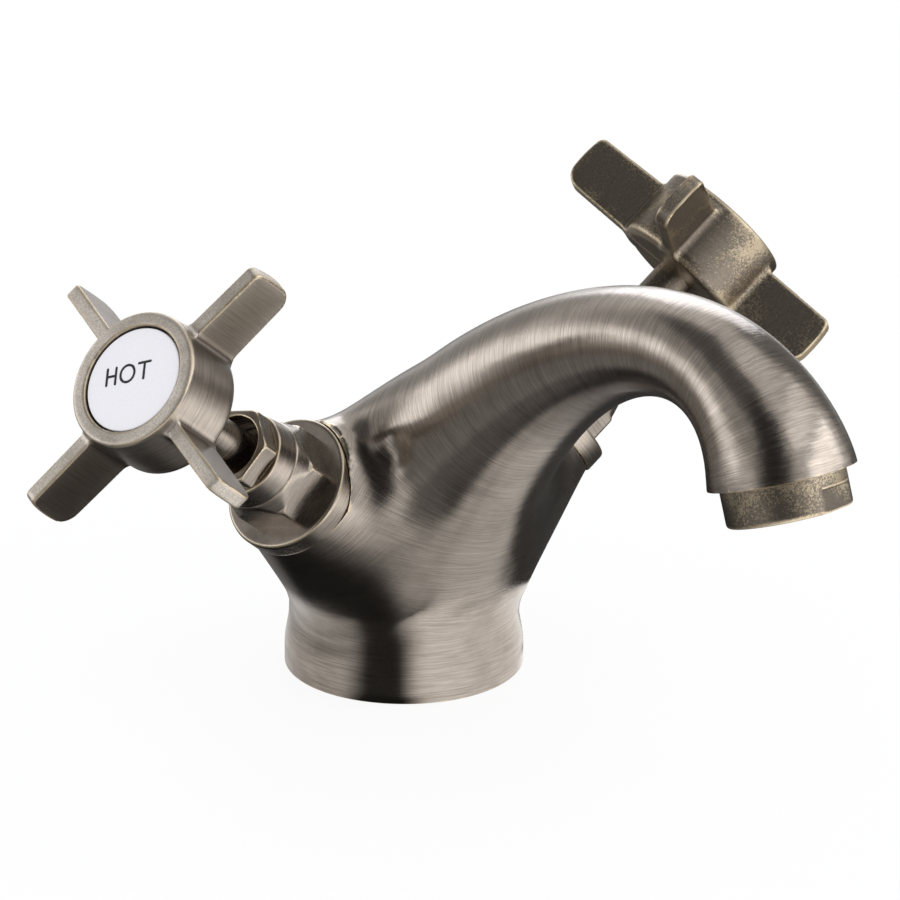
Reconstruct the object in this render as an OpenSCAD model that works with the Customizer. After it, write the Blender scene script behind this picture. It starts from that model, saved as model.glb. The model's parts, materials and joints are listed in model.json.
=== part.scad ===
// Twin-handle basin mixer: a swan spout on a round foot, two arms with cross handles and quarter-turn valves.
// Millimetres, +Z up. The origin is the centre of the underside of the foot and the spout points along -Y.
// The hot arm is on the -X side. Valve pieces are drawn upright on +Z and laid along their arm.

/* [Foot] */
// Diameter of the foot on the basin
foot_d = 51.8; // [48:0.2:54]
// Height of the straight band of the foot
foot_h = 4; // [2:0.5:6]
// Bevel round the bottom edge of the foot
foot_bevel = 0.6; // [0.3:0.1:1]
// Diameter of the waist above the foot
waist_d = 49.8; // [46:0.2:51]
// Height of the waist, where the neck starts to lean
waist_h = 12; // [10:0.5:13]
// Distance of the gasket's outer edge inside the edge of the foot
gasket_inset = 2.9; // [1.5:0.1:4]
// Width of the gasket
gasket_w = 3.5; // [2.5:0.25:5]
// Thickness of the gasket
gasket_t = 2; // [1.5:0.25:3]

/* [Spout] */
// Distance from the foot's axis to the centre of the outlet
spout_reach = 124.2; // [115:0.2:132]
// Height of the centre of the outlet
outlet_h = 81.4; // [76:0.2:86]
// Lean of the outlet towards the front
outlet_tilt = 20; // [15:1:24]
// Outer diameter of the outlet
outlet_d = 30.8; // [30:0.2:34]
// Height that the neck rises straight before it leans
neck_rise = 43; // [41:0.5:46]
// Forward pull on the arch of the spout
arch_reach = 92.6; // [88:0.2:98]
// Upward pull on the arch of the spout
arch_h = 136.8; // [130:0.2:142]
// Straight pull on the last stretch before the outlet
outlet_pull = 13.4; // [10:0.2:18]
// Diameter that the neck keeps as it leaves the waist
neck_d = 50; // [44:0.2:51]
// Diameter of the spout at the top of its arch
arch_d = 22; // [21:0.2:26]
// Diameter that the spout swells to before the outlet
bell_d = 29.4; // [28:0.2:34]
// Diameter of the waterway in the spout
water_d = 14; // [11:0.5:14.5]

/* [Arms] */
// Rise of the arms above the level
arm_tilt = 39; // [35:1:43]
// Turn of the arms towards the front
arm_sweep = 7.7; // [5:0.1:11]
// Height at which the two arm axes meet
arm_h = 21.7; // [20:0.1:24]
// Distance of that point in front of the foot's axis
arm_forward = 1; // [0:0.5:3]
// Length of an arm along its axis, to the collar
arm_len = 42; // [41:0.5:45]
// Diameter of an arm at the collar
arm_end_d = 28.6; // [27.5:0.1:29]
// Diameter of an arm where it swells out of the body
arm_root_d = 43; // [40:0.5:44]
// Distance along the arm of its widest place
arm_root_at = 14; // [12:0.5:16]
// Depth of the rounded inner end of an arm
arm_dome = 18; // [16:0.5:20]
// Diameter of the supply hole to each valve seat
supply_d = 7.8; // [6:0.2:8.4]
// Diameter of the passage from a valve to the spout
passage_d = 6.4; // [5:0.2:7]
// Distance of each inlet from the middle of the foot
inlet_at = 9.5; // [9:0.25:11]
// Diameter of the threaded inlets
inlet_d = 10; // [9.5:0.1:10.5]
// Depth of the threaded inlets
inlet_l = 12; // [10:0.5:14]
// Diameter of the threaded hole for the fixing stud
stud_d = 8; // [6:0.5:9]
// Depth of the threaded hole for the fixing stud
stud_l = 14; // [10:0.5:16]
// Distance of the fixing stud behind the middle of the foot
stud_at = 12; // [11:0.5:13]

/* [Headwork] */
// Outer diameter of the collar on the end of each arm
collar_d = 29.6; // [29:0.2:32]
// Thickness of the collar
collar_t = 5; // [4:0.25:6]
// Bevel on the edges of the collar
collar_bevel = 0.4; // [0.2:0.1:0.7]
// Outer diameter of the bonnet's thread
thread_d = 16.66; // [16:0.02:17]
// Length of the bonnet below the collar's face
thread_l = 18.5; // [18:0.25:19]
// Width across the flats of the bonnet's hexagon
bonnet_af = 20.3; // [19:0.1:22]
// Height of the bonnet's hexagon
bonnet_hex_h = 6; // [5:0.25:7]
// Turn of the bonnet's hexagon
bonnet_turn = 51; // [0:1:60]
// Diameter of the bonnet's shoulder next to the hexagon
shoulder_d = 22; // [21:0.2:23]
// Diameter of the bonnet's shoulder at its outer edge
shoulder_end_d = 20.8; // [20:0.2:21.4]
// Height of the bonnet's shoulder
shoulder_h = 4.3; // [3:0.1:5]
// Diameter of the bonnet's neck next to the shoulder
bonnet_neck_d = 19.6; // [19:0.2:20]
// Diameter of the bonnet's neck at its end
bonnet_end_d = 18.6; // [18:0.2:19]
// Length of the bonnet's neck
bonnet_neck_h = 5.5; // [5:0.25:7]
// Width across the flats of the neck nut
nut_af = 16; // [15.4:0.1:17]
// Height of the neck nut's hexagon
nut_h = 4.6; // [4:0.2:6]
// Turn of the neck nut's hexagon
nut_turn = 47; // [0:1:60]
// Bore of the neck nut, the dark gap round the spindle
nut_bore_d = 13.6; // [13:0.1:14]
// Outer diameter of the neck nut's threaded part
nut_thread_d = 15; // [14.6:0.1:15.4]
// Length of the neck nut's threaded part
nut_thread_h = 5; // [4:0.25:5]
// Bevel on the corners of the hexagons
hex_bevel = 0.7; // [0.4:0.1:1]
// Bore of the bonnet round the discs
disc_bore_d = 13.2; // [13:0.1:13.6]

/* [Valve] */
// Diameter of the spindle
spindle_d = 8.8; // [8.4:0.1:9.2]
// Thickness of each ceramic disc
disc_t = 3; // [2.5:0.25:3.25]
// Inner radius of the ports in the discs
port_in_r = 1.6; // [1.4:0.1:1.9]
// Outer radius of the ports in the discs
port_out_r = 4.6; // [4:0.1:4.9]
// Angle that each port spans
port_angle = 60; // [45:5:75]
// Height of the seat seal
seal_h = 3.5; // [3:0.25:4]
// Distance that the seat seal stands out of the bonnet
seal_proud = 1.5; // [1:0.1:1.75]
// Thickness of the spindle's foot
spindle_foot_h = 4; // [3.5:0.25:4.5]
// Width of the drive tab under the spindle's foot
tab_w = 2.4; // [2:0.1:2.8]
// Length of the drive tab
tab_l = 9.6; // [8:0.2:10.4]
// Depth of the drive tab
tab_h = 1.4; // [1:0.1:1.6]
// Thickness of the thrust washer
thrust_t = 1; // [0.8:0.1:1.2]
// Wire diameter of the spindle's O-rings
ring_wire = 1.5; // [1.2:0.1:1.6]
// Distance between the spindle's O-rings
ring_pitch = 4; // [3.5:0.25:5]
// Thickness of the circlip
clip_t = 0.8; // [0.6:0.1:1]
// Outer diameter of the circlip
clip_d = 11.4; // [10.6:0.2:12]
// Gap in the circlip
clip_gap = 40; // [30:5:60]
// Diameter of the spindle's splined end
spline_d = 8; // [7.8:0.1:8.2]
// Depth of the spline's teeth
spline_depth = 0.4; // [0.3:0.05:0.5]
// Length of the splined end
spline_l = 8.4; // [7.5:0.1:9]

/* [Handle] */
// Distance from where the arm axes meet to the back of the hub
hub_at = 86.6; // [85:0.1:92]
// Diameter of the hub
hub_d = 30.2; // [28.6:0.2:31]
// Length of the hub
hub_h = 16.7; // [16.2:0.1:18]
// Radius of the hub's back edge
hub_round = 1.6; // [1:0.1:2]
// Bevel of the hub's front edge
hub_bevel = 0.4; // [0.2:0.1:0.6]
// Distance from the handle's axis to the tip of a paddle
paddle_r = 34; // [30:0.2:36]
// Thickness of a paddle
paddle_t = 3.4; // [3:0.1:4.2]
// Width of a paddle at the hub
paddle_w = 13.3; // [12:0.1:14.4]
// Width of a paddle at its tip
paddle_tip_w = 12.5; // [11:0.1:13.2]
// Distance of a paddle in front of the back of the hub
paddle_at = 0.5; // [0.4:0.1:1.5]
// Radius of the corners of a paddle's tip
paddle_round = 2; // [1:0.1:3]
// Turn of the hot cross at rest
hot_turn = 65.4; // [0:0.1:90]
// Turn of the cold cross at rest
cold_turn = 54.9; // [0:0.1:90]
// Diameter of the index disc
index_d = 23; // [21:0.2:23.2]
// Thickness of the index disc
index_t = 2; // [1.6:0.1:2.2]
// Depth of the index disc below the hub's rim
index_sunk = 0.5; // [0.3:0.1:0.8]
// Gap round the index disc
index_gap = 0.4; // [0.2:0.05:0.5]
// Diameter of the handle screw
screw_d = 3.9; // [3.5:0.1:4]
// Length of the handle screw under its head
screw_l = 10; // [8:0.5:11]
// Diameter of the handle screw's head
screw_head_d = 7.2; // [6.4:0.2:7.6]
// Height of the handle screw's head
screw_head_h = 2.4; // [2:0.1:2.5]
// Thickness of the web under the screw's head
web_t = 1.5; // [1.2:0.1:2]

/* [Aerator] */
// Diameter of the visible part of the aerator
aerator_d = 26; // [25.6:0.2:28]
// Height of the visible part of the aerator
aerator_h = 8.2; // [7.6:0.1:9.5]
// Diameter of the aerator's thread
aerator_thread_d = 24; // [23:0.1:24.4]
// Length of the aerator's thread
aerator_thread_l = 5.5; // [5:0.25:7]
// Bore of the aerator housing
aerator_bore_d = 21; // [20:0.1:21.4]
// Width of the lip that holds the insert
aerator_lip = 0.9; // [0.6:0.1:1.2]
// Height of that lip
aerator_lip_h = 1; // [0.8:0.1:1.4]
// Width across the two wrench flats
flats_w = 23.6; // [23.2:0.1:25]
// Turn of the wrench flats from the front
flats_turn = 19; // [0:1:45]
// Height of the wrench flats
flats_h = 5; // [3.5:0.1:6]
// Height of the flow insert
insert_h = 7; // [6:0.25:7.5]
// Diameter of the holes in the flow insert
insert_hole_d = 2.6; // [2:0.1:3]
// Spacing of the holes in the flow insert
insert_pitch = 4; // [3.6:0.1:4.2]
// Thickness of the inlet screen
screen_t = 0.8; // [0.6:0.1:1]
// Diameter of the holes in the inlet screen
screen_hole_d = 1.4; // [1:0.1:1.8]
// Thickness of the aerator's washer
washer_t = 2; // [1.5:0.1:2.2]
// Width of the aerator's washer
washer_w = 3; // [2.5:0.1:3.4]

/* [Hidden] */
SIDES = ["hot", "cold"];
VALVE_NODES = [
  "collar_ring", "bonnet", "bonnet_o_ring", "neck_nut", "seat_seal", "fixed_disc", "moving_disc",
  "thrust_washer", "spindle", "spindle_o_rings", "circlip", "handle", "handle_screw", "index_disc"
];
$fn = 64;
bronze = "#6f6355";
worn_bronze = "#8d7d66";
// clearances: a running shaft, a screwed or dropped-in piece, and a piece that turns next to a fixed one
running_fit = 0.05;
loose_fit = 0.1;
turning_gap = 0.3;
disc_gap = 0.05;
// how far a cut runs past the face that it opens
overrun = 1;
// facets of the two swept surfaces
skin_sides = 36;
skin_steps = 28;
water_sides = 16;
water_steps = 16;
dome_steps = 8;
corner_steps = 4;
spline_teeth = 20;
// places on the spout's path and shares of sizes
arch_share = 0.6;
water_start_share = 0.19;
water_end_share = 0.95;
mixing_share = 0.23;
chamber_wall_share = 0.45;

gasket_d = foot_d - 2 * gasket_inset;

// levels along the arm's axis, from where the two axes meet
collar_face = arm_len + collar_t;
bonnet_bottom = collar_face - thread_l;
seat_level = bonnet_bottom - seal_proud;
fixed_disc_at = seat_level + seal_h;
moving_disc_at = fixed_disc_at + disc_t + disc_gap;
spindle_foot_at = moving_disc_at + disc_t + disc_gap;
thrust_at = spindle_foot_at + spindle_foot_h + disc_gap;
guide_at = thrust_at + thrust_t + disc_gap;
shoulder_at = collar_face + bonnet_hex_h;
bonnet_neck_at = shoulder_at + shoulder_h;
bonnet_top = bonnet_neck_at + bonnet_neck_h;
guide_top = bonnet_top - nut_thread_h - loose_fit;
nut_top = bonnet_top + nut_h;
clip_at = guide_top + turning_gap;
hub_front = hub_at + hub_h;
index_floor = hub_front - index_sunk - index_t;
web_top = index_floor - screw_head_h - turning_gap;
socket_top = web_top - web_t;
spline_top = socket_top - turning_gap;
spline_at = spline_top - spline_l;
chamber_d = thread_d + (arm_end_d - thread_d) * (1 - chamber_wall_share) / 2;
chamber_top = spindle_foot_at;
window_d = disc_t;
groove_d = spindle_d - ring_wire - ring_wire + running_fit;

// outlet direction and the control points of the spout's centre line, as [y, z]
outlet_dir = [-sin(outlet_tilt), -cos(outlet_tilt)];
outlet_point = [-spout_reach, outlet_h];
path_points = [
  [0, waist_h],
  [0, waist_h + neck_rise],
  [-arch_reach, arch_h],
  outlet_point - outlet_pull * outlet_dir,
  outlet_point
];
function weights(t) = [
  pow(1 - t, 4),
  4 * pow(1 - t, 3) * t,
  6 * pow(1 - t, 2) * t * t,
  4 * (1 - t) * pow(t, 3),
  pow(t, 4)
];
function rates(t) = [pow(1 - t, 3), 3 * pow(1 - t, 2) * t, 3 * (1 - t) * t * t, pow(t, 3)];
path_legs = [for (i = [1:len(path_points) - 1]) path_points[i] - path_points[i - 1]];
function path_at(t) = weights(t) * path_points;
function path_dir(t) = let (v = rates(t) * path_legs) v / norm(v);

// spout radius: a smooth curve through the named diameters, with its middle value set by the arch
end_radii = [waist_d / 2, neck_d / 2, 0, bell_d / 2, outlet_d / 2];
arch_pull_r = (arch_d / 2 - weights(arch_share) * end_radii) / weights(arch_share)[2];
path_radii = [waist_d / 2, neck_d / 2, arch_pull_r, bell_d / 2, outlet_d / 2];
function radius_at(t) = weights(t) * path_radii;

// a ring of points round a place [y, z] on the path, square to the direction [y, z]
function ring_points(place, dir, r, sides) = [
  for (i = [0:sides - 1]) let (a = 360 * i / sides)
    [r * cos(a), place[0] + r * sin(a) * dir[1], place[1] - r * sin(a) * dir[0]]
];

// joins a list of equal rings into one closed surface
module loft(rings) {
  n = len(rings[0]);
  m = len(rings);
  corners = [for (ring = rings) each ring];
  walls = [
    for (j = [0:m - 2]) for (i = [0:n - 1])
      let (a = j * n + i, b = j * n + (i + 1) % n, c = b + n, d = a + n)
      each [[a, c, b], [a, d, c]]
  ];
  polyhedron(
    corners,
    concat(walls, [[for (i = [0:n - 1]) i]], [[for (i = [n - 1:-1:0]) (m - 1) * n + i]]),
    convexity = 8
  );
}

// places children, drawn along +Z, on an arm; the cold arm is the mirror image of the hot one
module on_arm(side) {
  mirror([side == "cold" ? 1 : 0, 0, 0])
    translate([0, -arm_forward, arm_h])
      rotate([0, 0, arm_sweep])
        rotate([0, arm_tilt - 90, 0])
          children();
}

// places children at the outlet, with +Z up into the spout
module on_outlet() {
  translate([0, -spout_reach, outlet_h])
    rotate([-outlet_tilt, 0, 0])
      children();
}

module rod(d, from, to) {
  translate([0, 0, from]) cylinder(d = d, h = to - from);
}

module tube(d, bore, from, to) {
  difference() {
    rod(d, from, to);
    rod(bore, from - overrun, to + overrun);
  }
}

// a straight hole between two points
module drilling(start, end, d) {
  v = end - start;
  translate(start)
    rotate([0, acos(v[2] / norm(v)), atan2(v[1], v[0])])
      cylinder(d = d, h = norm(v));
}

module o_ring(d, wire, level) {
  translate([0, 0, level]) rotate_extrude() translate([d / 2 - wire / 2, 0]) circle(d = wire);
}

// a hexagon with its corners bevelled at the ends that are asked for
module hexagon(af, from, to, bevel_low, bevel_high) {
  corner = af / sqrt(3);
  intersection() {
    translate([0, 0, from]) cylinder(r = corner, h = to - from, $fn = 6);
    rotate_extrude()
      polygon([
        [0, from - overrun],
        [corner - bevel_low, from - overrun],
        [corner - bevel_low, from],
        [corner + overrun, from + (bevel_low + overrun) / 2],
        [corner + overrun, to - (bevel_high + overrun) / 2],
        [corner - bevel_high, to],
        [corner - bevel_high, to + overrun],
        [0, to + overrun]
      ]);
  }
}

// the outer surface of the foot, neck and spout in one sweep
module body_skin() {
  up = [0, 1];
  foot_rings = [
    ring_points([0, 0], up, foot_d / 2 - foot_bevel, skin_sides),
    ring_points([0, foot_bevel], up, foot_d / 2, skin_sides),
    ring_points([0, foot_h], up, foot_d / 2, skin_sides),
    ring_points([0, (foot_h + waist_h) / 2], up, (foot_d + waist_d + waist_d) / 6, skin_sides)
  ];
  path_rings = [
    for (i = [0:skin_steps]) let (t = i / skin_steps)
      ring_points(path_at(t), path_dir(t), radius_at(t), skin_sides)
  ];
  loft(concat(foot_rings, path_rings));
}

module arm_skin() {
  dome = [
    for (i = [0:dome_steps]) let (a = 90 * i / dome_steps)
      [arm_root_d / 2 * sin(a), arm_root_at - arm_dome * cos(a)]
  ];
  rotate_extrude() polygon(concat(dome, [[arm_end_d / 2, arm_len], [0, arm_len]]));
}

// the waterway of the spout, from the mixing place to the aerator's socket
module spout_waterway() {
  loft([
    for (i = [0:water_steps])
      let (t = water_start_share + (water_end_share - water_start_share) * i / water_steps)
      ring_points(path_at(t), path_dir(t), water_d / 2, water_sides)
  ]);
}

// where an arm's axis stands above its inlet
arm_dir = [-cos(arm_tilt) * cos(arm_sweep), -cos(arm_tilt) * sin(arm_sweep), sin(arm_tilt)];
elbow_s = inlet_at / (cos(arm_tilt) * cos(arm_sweep));
arm_meet = [0, -arm_forward, arm_h];
elbow = arm_meet + elbow_s * arm_dir;
mixing_place = path_at(mixing_share);
mixing_point = [0, mixing_place[0], mixing_place[1]];
chamber_point = arm_meet + (seat_level + chamber_top) / 2 * arm_dir;

module valve_socket() {
  rod(thread_d + 2 * running_fit, seat_level, arm_len + overrun);
  rod(chamber_d, seat_level, chamber_top);
  rod(supply_d, elbow_s - supply_d / 2, seat_level + overrun);
}

module tap_body() {
  color(bronze)
    difference() {
      union() {
        body_skin();
        for (side = SIDES) on_arm(side) arm_skin();
      }
      for (side = SIDES) {
        on_arm(side) valve_socket();
        mirror([side == "cold" ? 1 : 0, 0, 0]) {
          translate([elbow[0], elbow[1], -overrun]) cylinder(d = inlet_d, h = inlet_l + overrun);
          translate([elbow[0], elbow[1], 0]) cylinder(d = supply_d, h = elbow[2] + supply_d / 2);
          drilling(chamber_point, mixing_point, passage_d);
        }
      }
      spout_waterway();
      on_outlet() rod(aerator_thread_d + 2 * running_fit, -overrun, aerator_thread_l + washer_t + loose_fit);
      translate([0, stud_at, -overrun]) cylinder(d = stud_d, h = stud_l + overrun);
      tube(gasket_d + 2 * loose_fit, gasket_d - 2 * gasket_w - 2 * loose_fit, -overrun, gasket_t);
    }
}

module base_gasket() {
  color("#2b2b2b") tube(gasket_d, gasket_d - 2 * gasket_w, 0, gasket_t);
}

module aerator_housing() {
  color(worn_bronze)
    on_outlet()
      difference() {
        union() {
          rod(aerator_d, -aerator_h, 0);
          rod(aerator_thread_d, -overrun, aerator_thread_l);
        }
        rod(aerator_bore_d, aerator_lip_h - aerator_h, aerator_thread_l + overrun);
        rod(aerator_bore_d - 2 * aerator_lip, -aerator_h - overrun, aerator_lip_h);
        for (way = [0, 180])
          rotate(flats_turn + way)
            translate([-aerator_d / 2, -flats_w / 2 - 2 * overrun, -aerator_h - overrun])
              cube([aerator_d, 2 * overrun, flats_h + overrun]);
      }
}

module aerator_washer() {
  color("#2b2b2b")
    on_outlet()
      tube(aerator_thread_d, aerator_thread_d - 2 * washer_w, aerator_thread_l, aerator_thread_l + washer_t);
}

// holes in rings of six round a middle one
module hole_rings(d, pitch, from, to) {
  rod(d, from, to);
  for (ring = [1:2]) for (i = [0:6 * ring - 1])
    rotate(60 * i / ring) translate([ring * pitch, 0, 0]) rod(d, from, to);
}

module aerator_insert() {
  low = aerator_lip_h - aerator_h;
  color("#d8d8d4")
    on_outlet()
      difference() {
        rod(aerator_bore_d - 2 * loose_fit, low, low + insert_h);
        hole_rings(insert_hole_d, insert_pitch, low - overrun, low + insert_h + overrun);
      }
}

module aerator_screen() {
  low = aerator_lip_h - aerator_h + insert_h;
  color("#b8b8b8")
    on_outlet()
      difference() {
        rod(aerator_bore_d - 2 * loose_fit, low, low + screen_t);
        hole_rings(screen_hole_d, insert_pitch, low - overrun, low + screen_t + overrun);
      }
}

module collar_ring() {
  groove = thread_d + 2 * loose_fit + 2 * ring_wire;
  color(worn_bronze)
    difference() {
      rotate_extrude()
        polygon([
          [0, arm_len],
          [collar_d / 2 - collar_bevel, arm_len],
          [collar_d / 2, arm_len + collar_bevel],
          [collar_d / 2, collar_face - collar_bevel],
          [collar_d / 2 - collar_bevel, collar_face],
          [0, collar_face]
        ]);
      rod(thread_d + 2 * loose_fit, arm_len - overrun, collar_face + overrun);
      rod(groove + 2 * loose_fit, arm_len + (collar_t - ring_wire) / 2, arm_len + (collar_t + ring_wire) / 2);
    }
}

module bonnet_o_ring() {
  color("#1e1e1e")
    o_ring(thread_d + 2 * loose_fit + 2 * ring_wire, ring_wire - loose_fit, arm_len + collar_t / 2);
}

module bonnet() {
  color(bronze)
    difference() {
      union() {
        rod(thread_d, bonnet_bottom, shoulder_at);
        rotate(bonnet_turn) hexagon(bonnet_af, collar_face, shoulder_at, 0, 0);
        rotate_extrude()
          polygon([
            [0, shoulder_at],
            [shoulder_d / 2, shoulder_at],
            [shoulder_end_d / 2, bonnet_neck_at],
            [bonnet_neck_d / 2, bonnet_neck_at],
            [bonnet_end_d / 2, bonnet_top],
            [0, bonnet_top]
          ]);
      }
      rod(disc_bore_d, bonnet_bottom - overrun, guide_at);
      rod(spindle_d + 2 * running_fit, bonnet_bottom, bonnet_top);
      rod(nut_thread_d + 2 * running_fit, guide_top, bonnet_top + overrun);
      translate([0, 0, moving_disc_at + disc_t / 2])
        rotate([90, 0, 0])
          cylinder(d = window_d, h = thread_d + overrun, center = true);
    }
}

module neck_nut() {
  color(bronze)
    difference() {
      union() {
        rod(nut_thread_d, bonnet_top - nut_thread_h, nut_top - hex_bevel);
        rotate(nut_turn) hexagon(nut_af, bonnet_top, nut_top, 0, hex_bevel);
      }
      rod(nut_bore_d, bonnet_top - nut_thread_h - overrun, nut_top + overrun);
    }
}

module seat_seal() {
  color("#2b2b2b") tube(disc_bore_d - 2 * loose_fit, supply_d, seat_level, fixed_disc_at);
}

// two opposite ports of a disc, turned by a start angle
module ports(start, from, to) {
  for (half = [0, 180])
    rotate(start + half - port_angle / 2)
      rotate_extrude(angle = port_angle)
        translate([port_in_r, from])
          square([port_out_r - port_in_r, to - from]);
}

module fixed_disc() {
  top = fixed_disc_at + disc_t;
  color("#e8e4dc")
    difference() {
      rod(disc_bore_d - 2 * loose_fit, fixed_disc_at, top);
      ports(0, fixed_disc_at - overrun, top + overrun);
    }
}

module moving_disc() {
  top = moving_disc_at + disc_t;
  color("#e8e4dc")
    difference() {
      rod(disc_bore_d - 2 * turning_gap, moving_disc_at, top);
      ports(90, moving_disc_at - overrun, top + overrun);
      translate([-tab_l / 2 - loose_fit, -tab_w / 2 - loose_fit, top - tab_h - loose_fit])
        cube([tab_l + 2 * loose_fit, tab_w + 2 * loose_fit, tab_h + overrun]);
    }
}

module thrust_washer() {
  color("#d8d8d4")
    tube(disc_bore_d - 2 * loose_fit, spindle_d + 2 * turning_gap, thrust_at, thrust_at + thrust_t);
}

// the round toothed outline that the spindle and the handle share
module spline_outline(d) {
  polygon([
    for (i = [0:2 * spline_teeth - 1])
      let (r = d / 2 - (i % 2) * spline_depth, a = 180 * i / spline_teeth)
      [r * cos(a), r * sin(a)]
  ]);
}

ring_low = guide_at + ring_pitch;
ring_levels = [ring_low, ring_low + ring_pitch];

module spindle() {
  color(worn_bronze)
    difference() {
      union() {
        rod(disc_bore_d - 2 * turning_gap, spindle_foot_at, spindle_foot_at + spindle_foot_h);
        translate([-tab_l / 2, -tab_w / 2, spindle_foot_at - tab_h])
          cube([tab_l, tab_w, tab_h + overrun]);
        rod(spindle_d, spindle_foot_at, spline_at);
        translate([0, 0, spline_at - overrun])
          linear_extrude(spline_l + overrun)
            spline_outline(spline_d);
      }
      for (level = ring_levels)
        tube(spindle_d + overrun, groove_d, level - ring_wire / 2, level + ring_wire / 2);
      tube(spindle_d + overrun, groove_d, clip_at, clip_at + clip_t);
      rod(screw_d + 2 * running_fit, web_top - screw_l - overrun, spline_top + overrun);
    }
}

module spindle_o_rings() {
  color("#1e1e1e")
    for (level = ring_levels)
      o_ring(spindle_d, ring_wire - loose_fit, level);
}

module circlip() {
  color("#b8b8b8")
    rotate(clip_gap / 2)
      rotate_extrude(angle = 360 - clip_gap)
        translate([groove_d / 2 + running_fit, clip_at + running_fit])
          square([(clip_d - groove_d) / 2 - running_fit, clip_t - 2 * running_fit]);
}

// one paddle as [distance from the axis, level] points, with round tip corners
function tip_corner(level, way) = [
  for (i = [0:corner_steps]) let (a = way > 0 ? 90 * i / corner_steps : 90 * i / corner_steps - 90)
    [paddle_r - paddle_round + paddle_round * cos(a), level + paddle_round * sin(a)]
];

module paddle() {
  root = index_d / 2;
  middle = hub_at + paddle_at + paddle_w / 2;
  rotate([90, 0, 0])
    linear_extrude(paddle_t, center = true)
      polygon(concat(
        [[root, middle - paddle_w / 2]],
        tip_corner(middle - paddle_tip_w / 2 + paddle_round, -1),
        tip_corner(middle + paddle_tip_w / 2 - paddle_round, 1),
        [[root, middle + paddle_w / 2]]
      ));
}

module handle(turn) {
  back_edge = [
    for (i = [0:corner_steps]) let (a = 90 * i / corner_steps)
      [hub_d / 2 - hub_round + hub_round * sin(a), hub_at + hub_round - hub_round * cos(a)]
  ];
  color(bronze)
    difference() {
      union() {
        rotate_extrude()
          polygon(concat(
            [[0, hub_at]],
            back_edge,
            [[hub_d / 2, hub_front - hub_bevel], [hub_d / 2 - hub_bevel, hub_front], [0, hub_front]]
          ));
        for (i = [0:3]) rotate(turn + 90 * i) paddle();
      }
      rod(index_d + 2 * index_gap, index_floor, hub_front + overrun);
      rod(screw_head_d + 2 * turning_gap, web_top, index_floor + overrun);
      rod(screw_d + 2 * loose_fit, socket_top - overrun, web_top + overrun);
      rod(spindle_d + 2 * loose_fit, hub_at - overrun, spline_at + loose_fit);
      translate([0, 0, hub_at])
        linear_extrude(socket_top - hub_at)
          spline_outline(spline_d + 2 * loose_fit);
    }
}

module handle_screw() {
  slot_w = screw_head_h / 3;
  color("#b8b8b8")
    difference() {
      union() {
        rod(screw_head_d, web_top, web_top + screw_head_h);
        rod(screw_d, web_top - screw_l, web_top + screw_head_h / 2);
      }
      translate([-screw_head_d / 2, -slot_w / 2, web_top + screw_head_h / 2])
        cube([screw_head_d, slot_w, screw_head_h]);
    }
}

module index_disc() {
  color("white") rod(index_d, index_floor, index_floor + index_t);
}

tap_body();
base_gasket();
aerator_housing();
aerator_washer();
aerator_insert();
aerator_screen();
on_arm("hot") collar_ring();  // hot_collar_ring
on_arm("cold") collar_ring();  // cold_collar_ring
on_arm("hot") bonnet();  // hot_bonnet
on_arm("cold") bonnet();  // cold_bonnet
on_arm("hot") bonnet_o_ring();  // hot_bonnet_o_ring
on_arm("cold") bonnet_o_ring();  // cold_bonnet_o_ring
on_arm("hot") neck_nut();  // hot_neck_nut
on_arm("cold") neck_nut();  // cold_neck_nut
on_arm("hot") seat_seal();  // hot_seat_seal
on_arm("cold") seat_seal();  // cold_seat_seal
on_arm("hot") fixed_disc();  // hot_fixed_disc
on_arm("cold") fixed_disc();  // cold_fixed_disc
on_arm("hot") moving_disc();  // hot_moving_disc
on_arm("cold") moving_disc();  // cold_moving_disc
on_arm("hot") thrust_washer();  // hot_thrust_washer
on_arm("cold") thrust_washer();  // cold_thrust_washer
on_arm("hot") spindle();  // hot_spindle
on_arm("cold") spindle();  // cold_spindle
on_arm("hot") spindle_o_rings();  // hot_spindle_o_rings
on_arm("cold") spindle_o_rings();  // cold_spindle_o_rings
on_arm("hot") circlip();  // hot_circlip
on_arm("cold") circlip();  // cold_circlip
on_arm("hot") handle(hot_turn);  // hot_handle
on_arm("cold") handle(cold_turn);  // cold_handle
on_arm("hot") handle_screw();  // hot_handle_screw
on_arm("cold") handle_screw();  // cold_handle_screw
on_arm("hot") index_disc();  // hot_index_disc
on_arm("cold") index_disc();  // cold_index_disc
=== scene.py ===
"""Looks of a twin-handle basin mixer in brushed antique bronze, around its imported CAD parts.

Lengths are millimetres in the frame of the CAD part (+Z up, spout along -Y, hot arm at -X) and become
metres when a mesh is made. The casting, the crosses and the nuts are smooth blends. Each is given as a
field: a function that is negative inside, zero on the surface and about the distance to it nearby. A net
of quads is then laid on the surface.
"""

import json
import math

import bpy
import numpy as np
from mathutils import Matrix, Vector


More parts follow.
